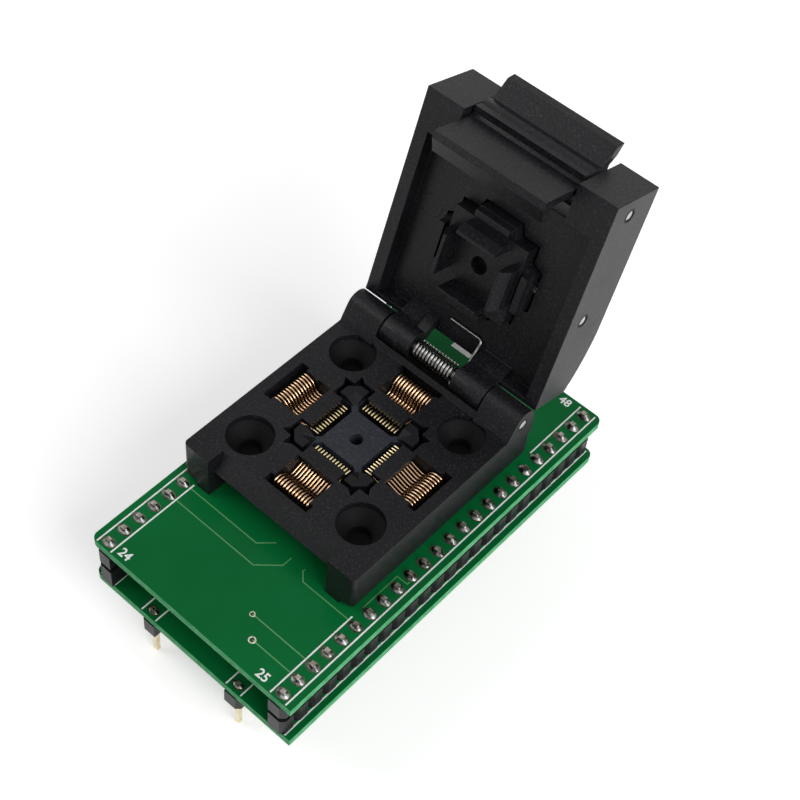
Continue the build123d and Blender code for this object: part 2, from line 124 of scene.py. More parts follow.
def carrySection(path, side, rise, section):
    # a section of (side, rise) offsets set at every point of a path
    return (path[..., None, :]
            + section[..., 0][..., None] * side[..., None, :]
            + section[..., 1][..., None] * rise[..., None, :])


def unit(v):
    # vectors divided by their own lengths
    return v / np.linalg.norm(v, axis=-1, keepdims=True)


def tangents(path):
    # the way ahead at every point of a path
    return unit(np.gradient(path, axis=0))


def smoothLine(control, perSpan):
    # cubic through all control points, each span bent by its two neighbours
    p = np.vstack([2 * control[0] - control[1], control, 2 * control[-1] - control[-2]])
    t = np.linspace(0, 1, perSpan, endpoint=False)[None, :, None]
    a, b, c, d = (p[k:len(p) - 3 + k][:, None, :] for k in range(4))
    spans = 0.5 * (2 * b + (c - a) * t + (2 * a - 5 * b + 4 * c - d) * t**2
                   + (3 * b - a - 3 * c + d) * t**3)
    return np.vstack([spans.reshape(-1, control.shape[1]), control[-1:]])


def circleSection(radius, sides):
    # points evenly round a circle, counter-clockwise
    angle = np.linspace(0, 2 * np.pi, sides, endpoint=False)
    return radius * np.stack([np.cos(angle), np.sin(angle)], -1)


def roundedSection(width, height, edge, perCorner=3):
    # four quarter circles round the corners of a rectangle, counter-clockwise
    corner = np.linspace(0, np.pi / 2, perCorner)
    turns = np.arange(4)[:, None] * np.pi / 2 + corner[None]
    signs = np.array([[1, 1], [-1, 1], [-1, -1], [1, -1]])[:, None]
    middle = signs * np.array([width / 2 - edge, height / 2 - edge])
    return (middle + edge * np.stack([np.cos(turns), np.sin(turns)], -1)).reshape(-1, 2)


def turnedSet(name, profile, centres, sides, axes=np.eye(3), stretch=None, ring=False):
    # a (radius, height) profile turned about the third axis at every centre, then stretched;
    # its two ends get flat caps, or in a ring are joined to each other
    angle = np.linspace(0, 2 * np.pi, sides, endpoint=False)
    radius = profile[:, 0][:, None]
    height = np.broadcast_to(profile[:, 1][:, None], (len(profile), sides))
    local = np.stack([radius * np.cos(angle), radius * np.sin(angle), height], -1)
    scale = np.ones((len(centres), 3)) if stretch is None else stretch
    spread = (local[None] * scale[:, None, None, :]) @ np.array(axes)
    return tubeSet(name, np.array(centres)[:, None, None, :] + spread, looped=ring)


# Shader helpers: a node's inputs are named or counted, and results are passed on as sockets

def feed(tree, socket, value):
    # an input is linked where the value is another node's output, and else set
    if isinstance(value, bpy.types.NodeSocket):
        tree.links.new(value, socket)
    else:
        socket.default_value = value


def newNode(tree, kind, place=(0, 0), inputs=None, **values):
    node = tree.nodes.new(kind)
    node.location = place
    for key, value in values.items():
        setattr(node, key, value)
    for label, value in (inputs or {}).items():
        feed(tree, node.inputs[label], value)
    return node


def workOut(tree, operation, place, *numbers, **values):
    # result of a Math node
    inputs = dict(enumerate(numbers))
    return newNode(tree, "ShaderNodeMath", place, inputs, operation=operation, **values).outputs[0]


def workVector(tree, operation, place, *vectors, result="Vector"):
    # result of a Vector Math node
    inputs = dict(enumerate(vectors))
    return newNode(tree, "ShaderNodeVectorMath", place, inputs, operation=operation).outputs[result]


def mapValue(tree, place, value, limits, low=0.0, high=1.0, curve="SMOOTHSTEP"):
    # low at the first limit, high at the second
    inputs = {
        "Value": value, "From Min": limits[0], "From Max": limits[1], "To Min": low, "To Max": high}
    return newNode(tree, "ShaderNodeMapRange", place, inputs, interpolation_type=curve).outputs["Result"]


def mixTones(tree, place, factor, first, second, kind="RGBA"):
    # first where the factor is 0, second where it is 1
    inputs = {"Factor": factor, "A": first, "B": second}
    return newNode(tree, "ShaderNodeMix", place, inputs, data_type=kind).outputs["Result"]


def newGroup(name, inputs, outputs):
    # an empty group with its sockets; an input's kind follows from its first value
    group = bpy.data.node_groups.new(name, "ShaderNodeTree")
    for label, value in inputs.items():
        kind = "Vector" if value is None else "Color" if isinstance(value, tuple) else "Float"
        socket = group.interface.new_socket(label, in_out="INPUT", socket_type="NodeSocket" + kind)
        if value is not None:
            socket.default_value = value
    for label, kind in outputs.items():
        group.interface.new_socket(label, in_out="OUTPUT", socket_type="NodeSocket" + kind)
    source = newNode(group, "NodeGroupInput", (-700, 0))
    target = newNode(group, "NodeGroupOutput", (500, 0))
    return group, source.outputs, target.inputs


mottleShape = dict(detail=5, middle=0.5)


def makeMottleGroup():
    # two colours mixed by soft cloudy noise, for tone that is never quite even
    group, source, target = newGroup(
        "softMottle",
        {"Vector": None, "Scale": 200.0, "Contrast": 0.5, "Dark": (0, 0, 0, 1), "Light": (1, 1, 1, 1)},
        {"Color": "Color", "Mask": "Float"})
    noise = newNode(group, "ShaderNodeTexNoise", (-450, 0), {
        "Vector": source["Vector"], "Scale": source["Scale"], "Detail": mottleShape["detail"]})
    spread = workOut(group, "SUBTRACT", (-250, 0), noise.outputs["Fac"], mottleShape["middle"])
    gain = workOut(group, "MULTIPLY", (-100, 0), spread, source["Contrast"])
    cover = workOut(group, "ADD", (50, 0), gain, mottleShape["middle"], use_clamp=True)
    feed(group, target["Color"], mixTones(group, (250, 0), cover, source["Dark"], source["Light"]))
    feed(group, target["Mask"], cover)
    return group


grainShape = dict(detail=3, rough=0.6, specks=(0.52, 0.72))


def makeGrainGroup():
    # a spark-eroded mould surface: height of fine noise with small pits, and a mask of its
    # bright specks
    group, source, target = newGroup(
        "mouldGrain", {"Vector": None, "Scale": 6000.0, "Pits": 0.4},
        {"Height": "Float", "Specks": "Float"})
    noise = newNode(group, "ShaderNodeTexNoise", (-450, 150), {
        "Vector": source["Vector"], "Scale": source["Scale"],
        "Detail": grainShape["detail"], "Roughness": grainShape["rough"]})
    cells = newNode(group, "ShaderNodeTexVoronoi", (-450, -150), {
        "Vector": source["Vector"], "Scale": source["Scale"]})
    pits = workOut(group, "MULTIPLY", (-200, -150), cells.outputs["Distance"], source["Pits"])
    feed(group, target["Height"], workOut(group, "ADD", (100, 0), noise.outputs["Fac"], pits))
    specks = mapValue(group, (100, -250), noise.outputs["Fac"], grainShape["specks"])
    feed(group, target["Specks"], specks)
    return group


scuffShape = dict(stretch=(1, 7, 3), turn=(0.3, 0.2, 0.6), detail=4, cloud=90, rubs=(0.58, 0.75),
                  patches=(0.45, 0.7))


def makeScuffGroup():
    # thin pale rubs that come and go: stretched noise cut by a cloudy mask
    s = scuffShape
    group, source, target = newGroup(
        "faintScuffs", {"Vector": None, "Scale": 300.0, "Amount": 0.3}, {"Mask": "Float"})
    stretch = newNode(group, "ShaderNodeMapping", (-520, 150), {
        "Vector": source["Vector"], "Scale": s["stretch"], "Rotation": s["turn"]})
    fine = newNode(group, "ShaderNodeTexNoise", (-320, 150), {
        "Vector": stretch.outputs["Vector"], "Scale": source["Scale"], "Detail": s["detail"]})
    cloud = newNode(group, "ShaderNodeTexNoise", (-320, -150), {
        "Vector": source["Vector"], "Scale": s["cloud"]})
    rubs = mapValue(group, (-120, 150), fine.outputs["Fac"], s["rubs"])
    patches = mapValue(group, (-120, -150), cloud.outputs["Fac"], s["patches"])
    both = workOut(group, "MULTIPLY", (80, 0), rubs, patches)
    feed(group, target["Mask"], workOut(group, "MULTIPLY", (250, 0), both, source["Amount"]))
    return group


mottle = makeMottleGroup()
grain = makeGrainGroup()
scuffs = makeScuffGroup()


def placeGroup(tree, group, coords, place, **values):
    # one of the shared effects, with this finish's own values
    return newNode(tree, "ShaderNodeGroup", place, dict(values, Vector=coords), node_tree=group).outputs


def layTone(tree, coords, settings, place=(-800, 200)):
    return placeGroup(tree, mottle, coords, place, Scale=settings["cloud"],
                      Contrast=settings["contrast"], Dark=settings["dark"], Light=settings["light"])


def startMaterial(name, settings):
    # a Principled BSDF with its even values, and Object coordinates
    material = bpy.data.materials.new(name)
    material.use_nodes = True
    tree = material.node_tree
    shader = tree.nodes["Principled BSDF"].inputs
    shader["Roughness"].default_value = settings["rough"][0]
    shader["Metallic"].default_value = settings["metallic"]
    shader["Specular IOR Level"].default_value = settings["specular"]
    coords = newNode(tree, "ShaderNodeTexCoord", (-1100, 0)).outputs["Object"]
    return material, tree, shader, coords


def varyRoughness(tree, shader, mask, rough):
    # roughness from the first value to the second as the mask rises
    gloss = mapValue(tree, (-250, -150), mask, (0.0, 1.0), *rough, curve="LINEAR")
    feed(tree, shader["Roughness"], gloss)


def addBump(tree, shader, height, settings):
    bump = newNode(tree, "ShaderNodeBump", (-250, -400), {
        "Height": height, "Strength": settings["bump"], "Distance": settings["relief"]})
    feed(tree, shader["Normal"], bump.outputs["Normal"])


def fromSocket(tree, coords):
    # flat offset from the socket's middle
    middle = (float(socketMid[0]), float(socketMid[1]), 0.0)
    aside = workVector(tree, "SUBTRACT", (-1000, 700), coords, middle)
    return workVector(tree, "MULTIPLY", (-850, 700), aside, (1.0, 1.0, 0.0))


def mouldedPlastic(name, settings):
    # fine-grained moulding: cloudy tone, uneven gloss, grain as bump, bright specks and faint rubs
    material, tree, shader, coords = startMaterial(name, settings)
    tone = layTone(tree, coords, settings)
    rubs = placeGroup(tree, scuffs, coords, (-800, -50),
                      Scale=settings["rubScale"], Amount=settings["rubs"])
    grit = placeGroup(tree, grain, coords, (-800, -300), Scale=settings["grain"], Pits=settings["pits"])
    rubbed = mixTones(tree, (-500, 200), rubs["Mask"], tone["Color"], settings["rubColor"])
    color = mixTones(tree, (-250, 200), grit["Specks"], rubbed, settings["speckColor"])
    if "riseFrom" in settings:
        # painted shade: what stands above a level, like the chip seat's guides, is coloured darker
        split = newNode(tree, "ShaderNodeSeparateXYZ", (-500, 500), {"Vector": coords})
        risen = workOut(tree, "GREATER_THAN", (-250, 500), split.outputs["Z"], settings["riseFrom"])
        color = mixTones(tree, (-50, 350), risen, color, settings["risenShadeColor"])
    feed(tree, shader["Base Color"], color)
    varyRoughness(tree, shader, tone["Mask"], settings["rough"])
    addBump(tree, shader, grit["Height"], settings)
    return material


housingLook = dict(
    dark=(0.0035, 0.0036, 0.0048, 1), light=(0.0115, 0.0115, 0.0138, 1), cloud=140.0, contrast=1.2,
    rough=(0.28, 0.42), specular=0.2, metallic=0.0, grain=3400.0, pits=0.5, bump=0.9, relief=0.00003,
    rubs=0.4, rubScale=420.0, rubColor=(0.04, 0.04, 0.042, 1), speckColor=(0.034, 0.034, 0.038, 1))
housing = mouldedPlastic("housingPlastic", housingLook)
seatPlastic = mouldedPlastic("seatPlastic", dict(
    housingLook, dark=(0.018, 0.020, 0.027, 1), light=(0.036, 0.038, 0.050, 1), rough=(0.4, 0.55),
    speckColor=(0.06, 0.062, 0.07, 1), riseFrom=float(boardTop) + 6.4 * mm,
    risenShadeColor=(0.006, 0.006, 0.008, 1)))
pusherPlastic = mouldedPlastic("pusherPlastic", dict(housingLook, rough=(0.33, 0.48), rubs=0.25))
headerPlastic = mouldedPlastic("headerPlastic", dict(
    housingLook, dark=(0.004, 0.004, 0.0045, 1), light=(0.009, 0.009, 0.01, 1), rough=(0.3, 0.45),
    grain=5000.0))


def paintShadeInWells(material, settings):
    # the four funnels of the base, at one distance from its middle, get painted shade: their colour is
    # darker, and they are less glossy
    tree = material.node_tree
    shader = tree.nodes["Principled BSDF"].inputs
    offset = fromSocket(tree, tree.nodes["Texture Coordinate"].outputs["Object"])
    folded = workVector(tree, "ABSOLUTE", (-700, 700), offset)
    wellMiddle = (settings["spread"], settings["spread"], 0.0)
    reach = workVector(tree, "DISTANCE", (-550, 700), folded, wellMiddle, result="Value")
    inWell = workOut(tree, "LESS_THAN", (-400, 700), reach, settings["radius"])
    for label, kind in (("Base Color", "RGBA"), ("Roughness", "FLOAT")):
        before = shader[label].links[0].from_socket
        feed(tree, shader[label], mixTones(tree, (0, 700), inWell, before, settings[label], kind))
    return material


basePlastic = paintShadeInWells(mouldedPlastic("basePlastic", housingLook), {
    "spread": 0.0096, "radius": 0.00318, "Base Color": (0.003, 0.003, 0.004, 1), "Roughness": 0.7})


def solderMaskBoard(name, settings):
    # green lacquer over fine weave; the cut edges show the paler laminate, lightened further by painted
    # light
    material, tree, shader, coords = startMaterial(name, settings)
    tone = layTone(tree, coords, settings, (-800, 300))
    edgeToneAndLight = layTone(tree, coords, settings["edge"], (-800, 50))
    split = newNode(tree, "ShaderNodeSeparateXYZ", (-900, -250), {"Vector": coords})
    beyond = []
    for axis, label in enumerate("XY"):
        middle = float(boardLow[axis] + boardHigh[axis]) / 2
        half = float(boardHigh[axis] - boardLow[axis]) / 2
        offset = workOut(tree, "SUBTRACT", (-700, -200), split.outputs[label], middle)
        away = workOut(tree, "ABSOLUTE", (-520, -200), offset)
        beyond.append(workOut(tree, "GREATER_THAN", (-350, -200), away, half - settings["edgeBand"]))
    edge = workOut(tree, "MAXIMUM", (-180, -250), *beyond)
    feed(tree, shader["Base Color"], mixTones(tree, (-180, 250), edge, tone["Color"], edgeToneAndLight["Color"]))
    varyRoughness(tree, shader, edge, settings["rough"])
    weave = newNode(tree, "ShaderNodeTexWave", (-800, -550), {
        "Vector": coords, "Scale": settings["weave"], "Distortion": settings["weaveBend"]},
        wave_type="BANDS", bands_direction="X")
    addBump(tree, shader, weave.outputs["Fac"], settings)
    return material


# the edge colours below are the laminate's paler green with painted light on top
boardGreen = solderMaskBoard("solderMask", dict(
    dark=(0.002, 0.115, 0.026, 1), light=(0.003, 0.165, 0.042, 1), cloud=70.0, contrast=1.4,
    rough=(0.24, 0.62), specular=0.08, metallic=0.0, weave=900.0, weaveBend=1.5, bump=0.035,
    relief=0.00002, edgeBand=0.00004,
    edge=dict(dark=(0.045, 0.31, 0.11, 1), light=(0.15, 0.5, 0.24, 1), cloud=900.0, contrast=2.2)))


def evenFinish(name, settings):
    # plated or drawn metal, printed ink, or a near-black painted shade: mottled tone, streaky gloss and
    # a light bump
    material, tree, shader, coords = startMaterial(name, settings)
    tone = layTone(tree, coords, settings)
    grit = placeGroup(tree, grain, coords, (-700, -200), Scale=settings["grain"], Pits=settings["pits"])
    feed(tree, shader["Base Color"], tone["Color"])
    varyRoughness(tree, shader, tone["Mask"], settings["rough"])
    addBump(tree, shader, grit["Height"], settings)
    return material


def contactMetal(name, settings):
    # plated metal whose tone turns from copper to brass towards the tips, by distance from
    # the socket's centre
    material = evenFinish(name, settings)
    tree = material.node_tree
    shader = tree.nodes["Principled BSDF"].inputs
    copper = shader["Base Color"].links[0].from_socket
    offset = fromSocket(tree, tree.nodes["Texture Coordinate"].outputs["Object"])
    reach = workVector(tree, "LENGTH", (-500, 500), offset, result="Value")
    tips = mapValue(tree, (-300, 500), reach, settings["tipReach"])
    feed(tree, shader["Base Color"], mixTones(tree, (-100, 400), tips, copper, settings["tipColor"]))
    return material


metalLook = dict(metallic=1.0, specular=0.5, pits=0.3, relief=0.00002)
steel = evenFinish("groundSteel", dict(
    metalLook, dark=(0.35, 0.35, 0.36, 1), light=(0.65, 0.65, 0.65, 1), cloud=1800.0, contrast=1.6,
    rough=(0.2, 0.32), grain=9000.0, bump=0.1))
# a darker steel for the hinge pin than for the crowned ends that are laid on it
pinSteel = evenFinish("hingePinSteel", dict(
    metalLook, dark=(0.12, 0.12, 0.12, 1), light=(0.3, 0.3, 0.3, 1), cloud=1800.0, contrast=1.6,
    rough=(0.3, 0.45), grain=9000.0, bump=0.2))
springSteel = evenFinish("springWire", dict(
    metalLook, dark=(0.1, 0.1, 0.095, 1), light=(0.42, 0.41, 0.39, 1), cloud=1500.0, contrast=1.4,
    rough=(0.1, 0.2), grain=9000.0, bump=0.06))
contactGold = contactMetal("contactPlating", dict(
    metalLook, dark=(0.62, 0.37, 0.20, 1), light=(0.92, 0.66, 0.43, 1), cloud=400.0, contrast=1.2,
    rough=(0.13, 0.22), grain=6000.0, bump=0.02, tipColor=(0.92, 0.78, 0.46, 1),
    tipReach=(0.0078, 0.0058)))
pinTin = evenFinish("solderedPin", dict(
    metalLook, dark=(0.16, 0.14, 0.11, 1), light=(0.55, 0.52, 0.46, 1), cloud=1600.0, contrast=2.5,
    rough=(0.25, 0.45), grain=5000.0, bump=0.3))
pinGold = evenFinish("pinPlating", dict(
    metalLook, dark=(0.62, 0.52, 0.30, 1), light=(0.90, 0.83, 0.62, 1), cloud=900.0, contrast=1.6,
    rough=(0.24, 0.4), grain=8000.0, bump=0.15))
solder = evenFinish("solderTin", dict(
    metalLook, dark=(0.025, 0.023, 0.02, 1), light=(0.4, 0.4, 0.39, 1), cloud=1300.0, contrast=3.2,
    rough=(0.16, 0.42), grain=2600.0, bump=0.6))
padTin = evenFinish("padTin", dict(
    metalLook, dark=(0.03, 0.05, 0.02, 1), light=(0.16, 0.18, 0.12, 1), cloud=1500.0, contrast=2.5,
    rough=(0.3, 0.5), grain=4000.0, bump=0.3))
viaTin = evenFinish("viaTin", dict(
    metalLook, dark=(0.26, 0.30, 0.20, 1), light=(0.60, 0.64, 0.50, 1), cloud=1500.0, contrast=2.0,
    rough=(0.3, 0.5), grain=4000.0, bump=0.3))

inkAndShadeLook = dict(
    metallic=0.0, specular=0.5, contrast=1.0, grain=6000.0, pits=0.2, bump=0.15, relief=0.00001)
whiteInk = evenFinish("whiteInk", dict(
    inkAndShadeLook, dark=(0.90, 0.93, 0.90, 1), light=(0.98, 0.98, 0.98, 1), cloud=1500.0, rough=(0.5, 0.65)))
trackLacquer = evenFinish("lacqueredTrack", dict(
    inkAndShadeLook, dark=(0.08, 0.27, 0.09, 1), light=(0.13, 0.36, 0.14, 1), cloud=400.0, rough=(0.3, 0.4)))
# near-black painted shade, laid where sinks, via holes and the seat's mark would be in shade
holeShade = evenFinish("holeShade", dict(
    inkAndShadeLook, dark=(0.002, 0.004, 0.002, 1), light=(0.005, 0.008, 0.004, 1), cloud=900.0,
    rough=(0.6, 0.8)))
print("materials made")

# CAD nodes: finish, and softened mould edges on the larger mouldings
nodeFinish = dict(
    upper_board=boardGreen, lower_board=boardGreen, socket_base=basePlastic, lid=housing,
    latch_lever=housing, pusher=pusherPlastic, chip_seat=seatPlastic, hinge_pin=pinSteel,
    latch_pin=steel, pusher_pin=steel, hinge_spring=springSteel, latch_spring=springSteel,
    dip_pins_left=pinGold, dip_pins_right=pinGold, link_pins_left=pinTin, link_pins_right=pinTin,
    contacts_front=contactGold, contacts_back=contactGold, contacts_left=contactGold,
    contacts_right=contactGold)
for name, node in nodes.items():
    node.data.materials.clear()
    node.data.materials.append(nodeFinish.get(name, headerPlastic))

edgeRounds = dict(socket_base=0.14, lid=0.16, latch_lever=0.14, pusher=0.08, chip_seat=0.06,
                  upper_board=0.04, lower_board=0.04)


def softenEdges(piece, width):
    # rounds the edges that turn by more than the bevel angle
    bevel = piece.modifiers.new("softEdges", "BEVEL")
    bevel.width = width * mm
    bevel.segments = edgeShape["segments"]
    bevel.limit_method = "ANGLE"
    bevel.angle_limit = np.radians(edgeShape["bevelFrom"])
    bevel.use_clamp_overlap = True
    bevel.harden_normals = True


for name, width in edgeRounds.items():
    weld = nodes[name].modifiers.new("joinTriangles", "WELD")
    weld.merge_threshold = edgeShape["joinReach"] * mm
    flat = nodes[name].modifiers.new("flatFaces", "DECIMATE")
    flat.decimate_type = "DISSOLVE"
    flat.angle_limit = np.radians(edgeShape["flatUnder"])
    softenEdges(nodes[name], width)
print("CAD nodes finished")


def finishPiece(piece, finish, body="base"):
    piece.data.materials.append(finish)
    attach(piece, body)


# Formed contacts: a rounded strip carried along a smooth path, outward in side view
contactShape = dict(
    count=12, pitch=0.5, width=0.25, thick=0.28, edge=0.1,
    path=[(4.15, 6.12), (4.7, 6.16), (5.3, 6.1), (6.6, 5.72), (8.0, 5.2), (9.0, 4.9), (9.7, 5.15),
          (10.2, 6.1), (10.8, 6.6), (11.5, 6.76), (12.1, 6.5), (12.42, 5.6), (12.35, 4.2)],
    perSpan=6, tails=(10.9, 12.2), tailLevels=[2.6, 0.8, -2.0])


def makeContacts(side, turn):
    # one row; every second tail goes down further out
    shape = contactShape
    offsets = (np.arange(shape["count"]) - (shape["count"] - 1) / 2) * shape["pitch"]
    section = roundedSection(shape["width"], shape["thick"], shape["edge"])
    out = np.array([np.cos(turn), np.sin(turn), 0.0])
    sideways = np.array([-np.sin(turn), np.cos(turn), 0.0])
    foot = np.array([socketMid[0], socketMid[1], boardTop])
    rings = []
    for k, offset in enumerate(offsets):
        reach = shape["tails"][k % 2]
        control = np.array(shape["path"] + [(reach, level) for level in shape["tailLevels"]])
        line = smoothLine(control, shape["perSpan"]) * mm
        path = foot + line[:, :1] * out + line[:, 1:] * upward + offset * mm * sideways
        ahead = tangents(path)
        widthways = np.broadcast_to(sideways, path.shape)
        rings.append(carrySection(path, widthways, np.cross(ahead, widthways), section * mm))
    piece = tubeSet("formed_contacts_" + side, np.array(rings))
    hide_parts("contacts_" + side)
    finishPiece(piece, contactGold)


for side, turn in (("right", 0), ("back", np.pi / 2), ("left", np.pi), ("front", -np.pi / 2)):
    makeContacts(side, turn)
print("contacts made")

# Springs: round wire carried along a helix with straight legs
wireSides = 10
hingeSpringShape = dict(
    wire=0.19, radius=1.27, turns=12, perTurn=36, left=-3.3, right=3.4, endWires=2.1, seatLeg=3.7,
    lidLegUp=4.5, lidFloor=3.9, gap=0.05, lidLegEnd=-2.0, bend=0.6, wrap=120.0, straightFrom=0.03,
    seatSteps=12, wrapSteps=16, straightSteps=10, bendSteps=8)
latchSpringShape = dict(
    wire=0.15, radius=1.1, turns=4.25, perTurn=32, half=1.4, frontLeg=1.2, footLeg=3.6, wound=1.15,
    frontSteps=6, footSteps=8)


def squareTo(path):
    # at each point of the path, the way that is square to it and to the hinge line
    return unit(np.cross(tangents(path), across))


def wirePiece(name, path, side, radius, replaced):
    # a circle of (side, rise) offsets carried along the path
    rise = np.cross(tangents(path), side)
    rings = carrySection(path, side, rise, circleSection(radius * mm, wireSides))
    piece = tubeSet(name, rings[None])
    piece.data.materials.append(springSteel)
    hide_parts(replaced)
    return piece


def makeHingeSpring():
    # one wire up the back of the base and round the pin; the second part, which turns with
    # the lid, wraps the pin beside it, runs up to the lid's floor and across it
    s = hingeSpringShape
    r = s["radius"] * mm
    reach = np.array([s["lidLegUp"], s["lidFloor"] - s["wire"] - s["gap"]]) * mm
    slope = np.arctan2(reach[1], reach[0]) - np.arcsin(r / np.hypot(*reach))
    lastTurn = lean - slope - np.pi / 2
    total = 2 * np.pi * s["turns"] + lastTurn
    left, right = hingeAt + across * s["left"] * mm, hingeAt + across * s["right"] * mm
    rise = np.linspace(-s["seatLeg"] * mm, 0, s["seatSteps"], endpoint=False)[:, None]
    seatLeg = left + backward * r + rise * upward
    angle = np.linspace(0, total, s["turns"] * s["perTurn"])
    coilLength = (s["right"] - s["left"] - s["endWires"] * s["wire"]) * mm
    coil = (left + across * coilLength * (angle / total)[:, None]
            + r * (np.cos(angle)[:, None] * backward + np.sin(angle)[:, None] * upward))
    path = np.vstack([seatLeg, coil])
    coilPiece = wirePiece("hinge_spring_coil", path, squareTo(path), s["wire"], "hinge_spring")
    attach(coilPiece, "base")

    wrap = total - np.radians(s["wrap"]) + np.linspace(0, np.radians(s["wrap"]), s["wrapSteps"])
    around = right + r * (np.cos(wrap)[:, None] * backward + np.sin(wrap)[:, None] * upward)
    corner = right + upLid * reach[0] + outLid * reach[1]
    along = unit(corner - around[-1])
    bend = s["bend"] * mm
    share = np.linspace(s["straightFrom"], 1, s["straightSteps"], endpoint=False)[:, None]
    straight = around[-1] + (corner - bend * along - around[-1]) * share
    turn = np.linspace(0, np.pi / 2, s["bendSteps"])[:, None]
    arc = corner - bend * along - across * bend * (1 - np.cos(turn)) + along * bend * np.sin(turn)
    end = corner + across * (s["lidLegEnd"] - s["right"]) * mm
    cross = arc[-1] + (end - arc[-1]) * np.linspace(0, 1, s["bendSteps"])[1:, None]
    path = np.vstack([around, straight, arc, cross])
    side = np.tile(np.cross(along, across), (len(path), 1))
    side[:len(around)] = squareTo(path[:len(around) + 1])[:-1]
    legPiece = wirePiece("hinge_spring_leg", path, side, s["wire"], "hinge_spring")
    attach(legPiece, "lid")


def makeLatchSpring():
    # a short coil on the latch pin, its legs against the latch and the foot of the slot
    s = latchSpringShape
    r = s["radius"] * mm
    start = latchAt + across * s["half"] * mm
    angle = np.linspace(0, 2 * np.pi * s["turns"], int(s["turns"] * s["perTurn"]))
    coil = (start - across * 2 * s["half"] * mm * (angle / angle[-1])[:, None]
            + r * (np.cos(angle)[:, None] * upLid + np.sin(angle)[:, None] * outLid))
    before = np.linspace(s["frontLeg"] * mm, 0, s["frontSteps"], endpoint=False)[:, None]
    beyond = np.linspace(0, s["footLeg"] * mm, s["footSteps"])[1:, None]
    path = np.vstack([coil[0] - outLid * before, coil, coil[-1] - upLid * beyond])
    piece = wirePiece("latch_spring_wire", path, squareTo(path), s["wire"], "latch_spring")
    # the coil winds from the leg in the lid to the leg on the latch
    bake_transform(piece)


makeHingeSpring()
makeLatchSpring()
print("springs made")

# Hinge forms: rounded ears on the base, knuckles on the lid and the lid's lower edge, which
# reaches down behind the ears
hingeForm = dict(
    setBack=0.25, radius=2.08, pinRoom=1.02, knuckleRoom=0.86, frontAngle=150, arcSteps=28, round=0.12,
    ear=(8.93, 14.76), back=2.38, backFoot=-3.2, baseTop=-1.25, sunk=0.3, inFoot=(-0.2, 0.3),
    knuckles=[(-8.71, -3.8), (3.69, 8.71)], footWall=(1.74, 2.42), rim=1.64, floor=3.89, joinTop=2.55,
    heel=(8.25, 8.77), lidHalf=14.86, bay=(-5.5, 3.6), bayFoot=1.3, web=(-8.72, -3.82), webFoot=2.28,
    webDepth=4.63, webTop=3.43)


def prismPiece(name, outline, hole, span, axes, body):
    # an outline about the hinge line, with a round hole where a radius is given, carried across
    # from one end of the span to the other; it is turned so that the faces look outward
    outline = np.array(outline)
    follow = np.roll(outline, -1, 0)
    area = (outline[:, 0] * follow[:, 1] - outline[:, 1] * follow[:, 0]).sum()
    if area * np.dot(np.cross(*axes), across) < 0:
        outline = outline[::-1]
    loops = [outline]
    if hole is not None:
        # the hole's points lie on rays to the outline's points, so that each end face is a ring
        loops.append(unit(outline) * hole)
    places = [hingeAt + across * x * mm + loop[:, :1] * mm * axes[0] + loop[:, 1:] * mm * axes[1]
              for loop in loops for x in span]
    count = len(outline)
    ring = np.arange(count)
    follow = (ring + 1) % count
    faces = [np.stack([ring, follow, follow + count, ring + count], -1)]
    if hole is None:
        faces += [ring[::-1][None], (ring + count)[None]]
    else:
        hollow = ring + 2 * count, follow + 2 * count
        faces += [np.stack([hollow[0] + count, hollow[1] + count, hollow[1], hollow[0]], -1),
                  np.stack([follow, ring, *hollow], -1),
                  np.stack([ring + count, follow + count, hollow[1] + count, hollow[0] + count], -1)]
    piece = buildMesh(name, np.vstack(places), faces)
    softenEdges(piece, hingeForm["round"])
    finishPiece(piece, housing, body)


def roundNose(angles):
    # points of the ears' and knuckles' round, whose middle is set back from the hinge line
    nose = hingeForm["radius"] * np.stack([np.cos(angles), np.sin(angles)], -1)
    return nose + [hingeForm["setBack"], 0.0]


def makeHingeForms():
    # outlines run back and up for the round forms, up the lid and out of it for the rest
    h = hingeForm
    arc = roundNose(np.radians(np.linspace(0, h["frontAngle"], h["arcSteps"])))
    under = h["baseTop"] - h["sunk"]
    footAt = arc[-1, 0] - (arc[-1, 1] - under) * np.tan(np.radians(180 - h["frontAngle"]))
    ear = np.vstack([[(h["back"], h["backFoot"]), (h["back"], 0.0)], arc,
                     [(footAt, under), (h["inFoot"][0], under), (h["inFoot"][1], h["backFoot"])]])
    for side, sign in (("left", -1), ("right", 1)):
        span = sorted((sign * h["ear"][0], sign * h["ear"][1]))
        prismPiece("hinge_ear_" + side, ear, h["pinRoom"], span, (backward, upward), "base")
    barrel = roundNose(np.linspace(0, 2 * np.pi, 2 * h["arcSteps"], endpoint=False))
    for side, span in zip(("left", "right"), h["knuckles"]):
        prismPiece("knuckle_" + side, barrel, h["knuckleRoom"], span, (backward, upward), "lid")
    low, high = h["footWall"]
    wall = [(low, h["rim"]), (high, h["rim"]), (high, h["floor"]), (h["joinTop"], h["floor"]),
            (h["joinTop"], h["heel"][1]), (low, h["heel"][0])]
    plate = [(h["bayFoot"], h["floor"]), (h["joinTop"], h["floor"]), (h["joinTop"], h["heel"][1]),
             (h["bayFoot"], h["heel"][0])]
    web = [(0.0, h["radius"]), (h["webFoot"], h["webDepth"]), (h["webTop"], h["webDepth"]),
           (h["webTop"], h["floor"]), (low, h["rim"]), (h["pinRoom"], h["pinRoom"])]
    inner = h["knuckles"][1][1]
    for name, outline, span in (
            ("lid_foot_left", wall, (-h["lidHalf"], -inner)),
            ("lid_foot_right", wall, (inner, h["lidHalf"])),
            ("lid_foot_bay", plate, h["bay"]), ("knuckle_web", web, h["web"])):
        prismPiece(name, outline, None, span, (upLid, outLid), "lid")


makeHingeForms()
